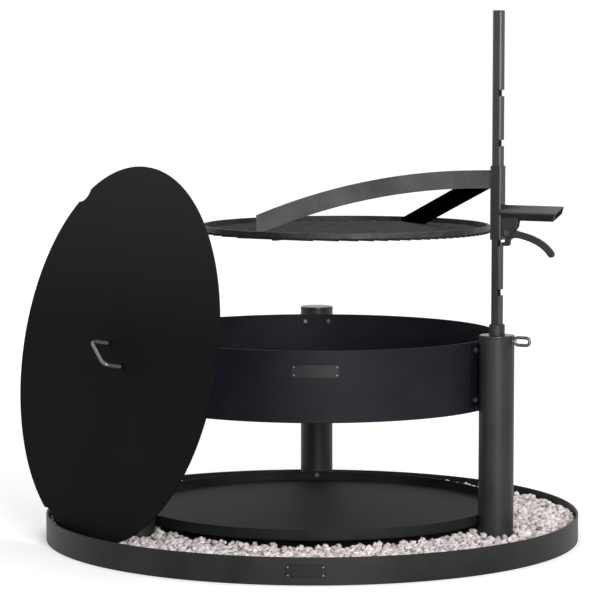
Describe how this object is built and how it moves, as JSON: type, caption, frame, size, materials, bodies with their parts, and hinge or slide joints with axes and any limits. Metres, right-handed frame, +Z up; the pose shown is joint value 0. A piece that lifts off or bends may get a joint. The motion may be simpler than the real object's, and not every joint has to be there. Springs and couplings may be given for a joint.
{
  "type": "fire bowl with grill grate",
  "caption": "Round steel fire bowl on posts over a log shelf in a ring of stones, with a slotted mast, a swinging grill grate latched at set heights, and a lid leaning on a post.",
  "frame": {"origin": "on the ground, on the fire bowl's vertical axis", "axes": "+Z up, -Y towards the viewer of the picture, +X to the viewer's right; the mast stands at the right-hand front post, 30 degrees from +X towards -Y"},
  "size_m": [1.2353, 1.17, 1.1501],
  "materials": {
    "powder_coated_black": "fine-grained satin powder coat on steel",
    "heat_proof_black": "matt heat-proof paint on steel",
    "dark_grate_steel": "dark, drawn rod, slightly glossy",
    "blackened_fasteners": "blackened zinc, semi-gloss",
    "zinc_plated_steel": "clear zinc plating on bent rod",
    "black_plastic_plug": "moulded, matt",
    "pale_stones": "rough broken gravel"
  },
  "bodies": {
    "root": {"base_ring": "powder_coated_black", "gravel_bed": "pale_stones", "post_back": "powder_coated_black", "post_front_left": "powder_coated_black", "post_front_right": "powder_coated_black", "post_cap_back": "powder_coated_black", "post_cap_front_left": "powder_coated_black", "post_cap_front_right": "powder_coated_black", "socket_floor": "powder_coated_black", "bowl_wall": "heat_proof_black", "bowl_floor": "heat_proof_black", "bowl_bracket_back": "powder_coated_black", "bowl_bracket_front_left": "powder_coated_black", "bowl_bracket_front_right": "powder_coated_black", "bracket_bolt_back_a_high": "blackened_fasteners", "bracket_bolt_back_a_low": "blackened_fasteners", "bracket_bolt_back_b_high": "blackened_fasteners", "bracket_bolt_back_b_low": "blackened_fasteners", "bracket_bolt_front_left_a_high": "blackened_fasteners", "bracket_bolt_front_left_a_low": "blackened_fasteners", "bracket_bolt_front_left_b_high": "blackened_fasteners", "bracket_bolt_front_left_b_low": "blackened_fasteners", "bracket_bolt_front_right_a_high": "blackened_fasteners", "bracket_bolt_front_right_a_low": "blackened_fasteners", "bracket_bolt_front_right_b_high": "blackened_fasteners", "bracket_bolt_front_right_b_low": "blackened_fasteners", "bracket_nut_back_a_high": "blackened_fasteners", "bracket_nut_back_a_low": "blackened_fasteners", "bracket_nut_back_b_high": "blackened_fasteners", "bracket_nut_back_b_low": "blackened_fasteners", "bracket_nut_front_left_a_high": "blackened_fasteners", "bracket_nut_front_left_a_low": "blackened_fasteners", "bracket_nut_front_left_b_high": "blackened_fasteners", "bracket_nut_front_left_b_low": "blackened_fasteners", "bracket_nut_front_right_a_high": "blackened_fasteners", "bracket_nut_front_right_a_low": "blackened_fasteners", "bracket_nut_front_right_b_high": "blackened_fasteners", "bracket_nut_front_right_b_low": "blackened_fasteners", "log_shelf": "powder_coated_black", "shelf_bolt_back": "blackened_fasteners", "shelf_bolt_front_left": "blackened_fasteners", "shelf_bolt_front_right": "blackened_fasteners", "clamp_nut": "blackened_fasteners"},
    "mast": {"pole_spigot": "powder_coated_black", "pole": "powder_coated_black", "pole_cap": "black_plastic_plug"},
    "grate_carriage": {"sleeve": "powder_coated_black", "arm_front": "powder_coated_black", "arm_back": "powder_coated_black", "grate_hoop": "dark_grate_steel", "grate_rods": "dark_grate_steel", "grip_bar": "powder_coated_black", "latch_cheek_front": "powder_coated_black", "latch_cheek_back": "powder_coated_black", "pivot_bolt": "blackened_fasteners", "pivot_nut": "blackened_fasteners"},
    "latch": {"latch_lever": "powder_coated_black"},
    "clamp": {"clamp_screw": "zinc_plated_steel"},
    "lid": {"lid_plate": "powder_coated_black", "lid_handle": "powder_coated_black"}
  },
  "joints": [
    {"name": "pole_swing", "type": "hinge", "parent": "root", "child": "mast", "pos_m": [0.38114, -0.22005, 0.467], "axis": [0, 0, 1], "range_deg": [-250, 25]},
    {"name": "grate_height", "type": "slide", "parent": "mast", "child": "grate_carriage", "axis": [0, 0, 1], "range_m": [-0.105, 0.315]},
    {"name": "latch_squeeze", "type": "hinge", "parent": "grate_carriage", "child": "latch", "pos_m": [0.40539, -0.23405, 0.6845], "axis": [-0.5, -0.866, 0], "range_deg": [-10, 16]},
    {"name": "clamp_screw_turn", "type": "hinge", "parent": "root", "child": "clamp", "pos_m": [0.38114, -0.22005, 0.456], "axis": [0.866, -0.5, 0], "continuous": true},
    {"name": "lid_lift", "type": "slide", "parent": "root", "child": "lid", "axis": [0, 0, 1], "range_m": [0, 0.35]}
  ]
}
